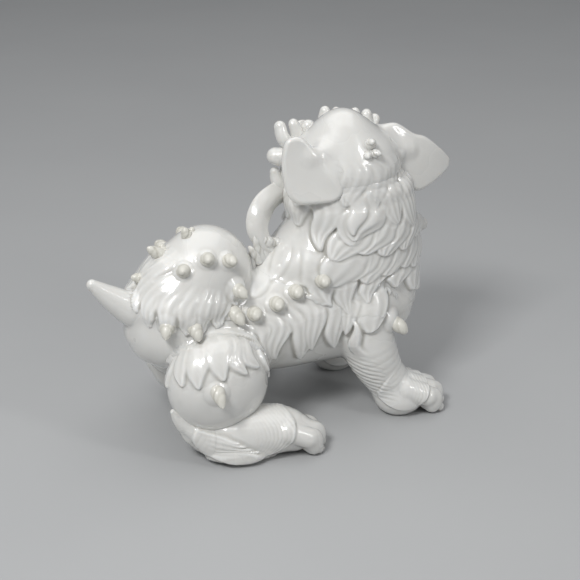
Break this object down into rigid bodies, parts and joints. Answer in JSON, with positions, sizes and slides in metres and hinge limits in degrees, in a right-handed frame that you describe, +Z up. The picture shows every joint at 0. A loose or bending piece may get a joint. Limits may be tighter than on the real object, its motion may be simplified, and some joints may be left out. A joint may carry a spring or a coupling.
{
  "type": "guardian lion figure",
  "caption": "Crouching porcelain guardian lion with turned head, drooping ears, curled beard, domed knobbed tail and four flat paws.",
  "frame": {"origin": "middle of the figure's footprint box, on the surface it stands on", "axes": "+X from tail to chest, +Y to the lion's left, +Z up from the soles"},
  "size_m": [0.2932, 0.163, 0.238],
  "materials": {
    "clear_glaze": "glossy clear glaze over white porcelain",
    "matt_glaze": "thin dry glaze over white porcelain"
  },
  "bodies": {
    "root": {"beard_curl": "clear_glaze", "chest_knob": "matt_glaze", "face_curls": "clear_glaze", "head_shell": "clear_glaze", "left_brow": "clear_glaze", "left_ear": "clear_glaze", "left_elbow_spike": "matt_glaze", "left_eyeball": "clear_glaze", "left_flank_knobs": "matt_glaze", "left_foreleg": "clear_glaze", "left_forepaw": "clear_glaze", "left_haunch": "clear_glaze", "left_haunch_spike": "matt_glaze", "left_hind_foot": "clear_glaze", "lower_fangs": "clear_glaze", "lower_jaw": "clear_glaze", "nape_knob": "matt_glaze", "neck_mane": "clear_glaze", "nose": "clear_glaze", "right_brow": "clear_glaze", "right_ear": "clear_glaze", "right_elbow_spike": "matt_glaze", "right_eyeball": "clear_glaze", "right_flank_knobs": "matt_glaze", "right_foreleg": "clear_glaze", "right_forepaw": "clear_glaze", "right_haunch": "clear_glaze", "right_haunch_spike": "matt_glaze", "right_hind_foot": "clear_glaze", "spine_crest": "matt_glaze", "tail_crest_knobs": "matt_glaze", "tail_left_knobs": "matt_glaze", "tail_plume": "clear_glaze", "tail_right_knobs": "matt_glaze", "tail_tip": "clear_glaze", "tongue": "clear_glaze", "torso": "clear_glaze", "upper_fangs": "clear_glaze", "upper_muzzle": "clear_glaze"}
  },
  "joints": []
}
